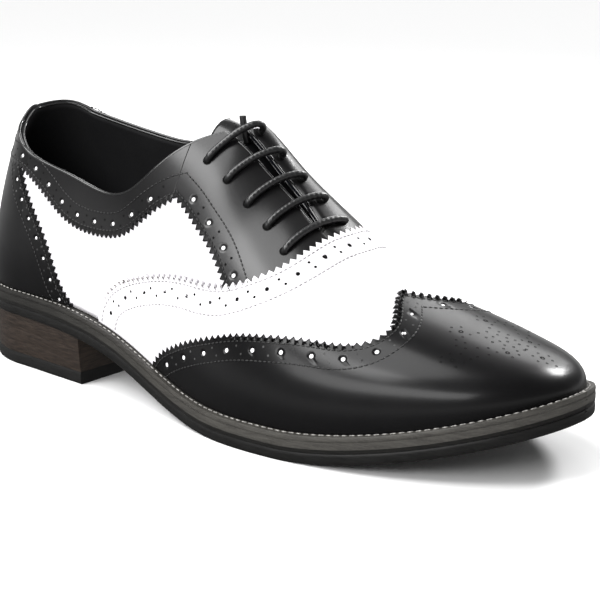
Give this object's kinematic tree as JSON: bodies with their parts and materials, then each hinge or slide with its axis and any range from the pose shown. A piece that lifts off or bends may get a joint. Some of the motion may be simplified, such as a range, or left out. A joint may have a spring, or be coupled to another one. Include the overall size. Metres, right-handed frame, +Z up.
{
  "type": "spectator shoe",
  "caption": "Black and white laced spectator shoe with a perforated wingtip, collar and counter, a welted sole and a stacked heel.",
  "frame": {"origin": "on the ground under the middle of the sole's outline", "axes": "+X points to the toe, +Y to the inner side of the right foot, +Z up"},
  "size_m": [0.308, 0.103, 0.1202],
  "materials": {
    "black_leather": "polished calf with a soft grey sheen",
    "white_leather": "smooth matt white calf",
    "lining": "matt black lining leather",
    "sole_black": "black dyed, satin",
    "sole_edge": "waxed leather edge, grey-brown",
    "stacked_heel": "stacked leather, dark brown, waxed",
    "waxed_lace": "round waxed cotton"
  },
  "bodies": {
    "root": {"heel_top_piece": "sole_black", "heel_stack": "stacked_heel", "outsole": "sole_black", "midsole": "sole_edge", "welt": "sole_black", "insole": "lining", "upper": "white_leather", "wingtip": "black_leather", "vamp": "white_leather", "facing_outer": "black_leather", "facing_inner": "black_leather", "collar": "black_leather", "counter": "black_leather", "tongue": "black_leather", "lace_bar_1": "waxed_lace", "lace_bar_2": "waxed_lace", "lace_bar_3": "waxed_lace", "lace_bar_4": "waxed_lace", "lace_bar_5": "waxed_lace"}
  },
  "joints": []
}
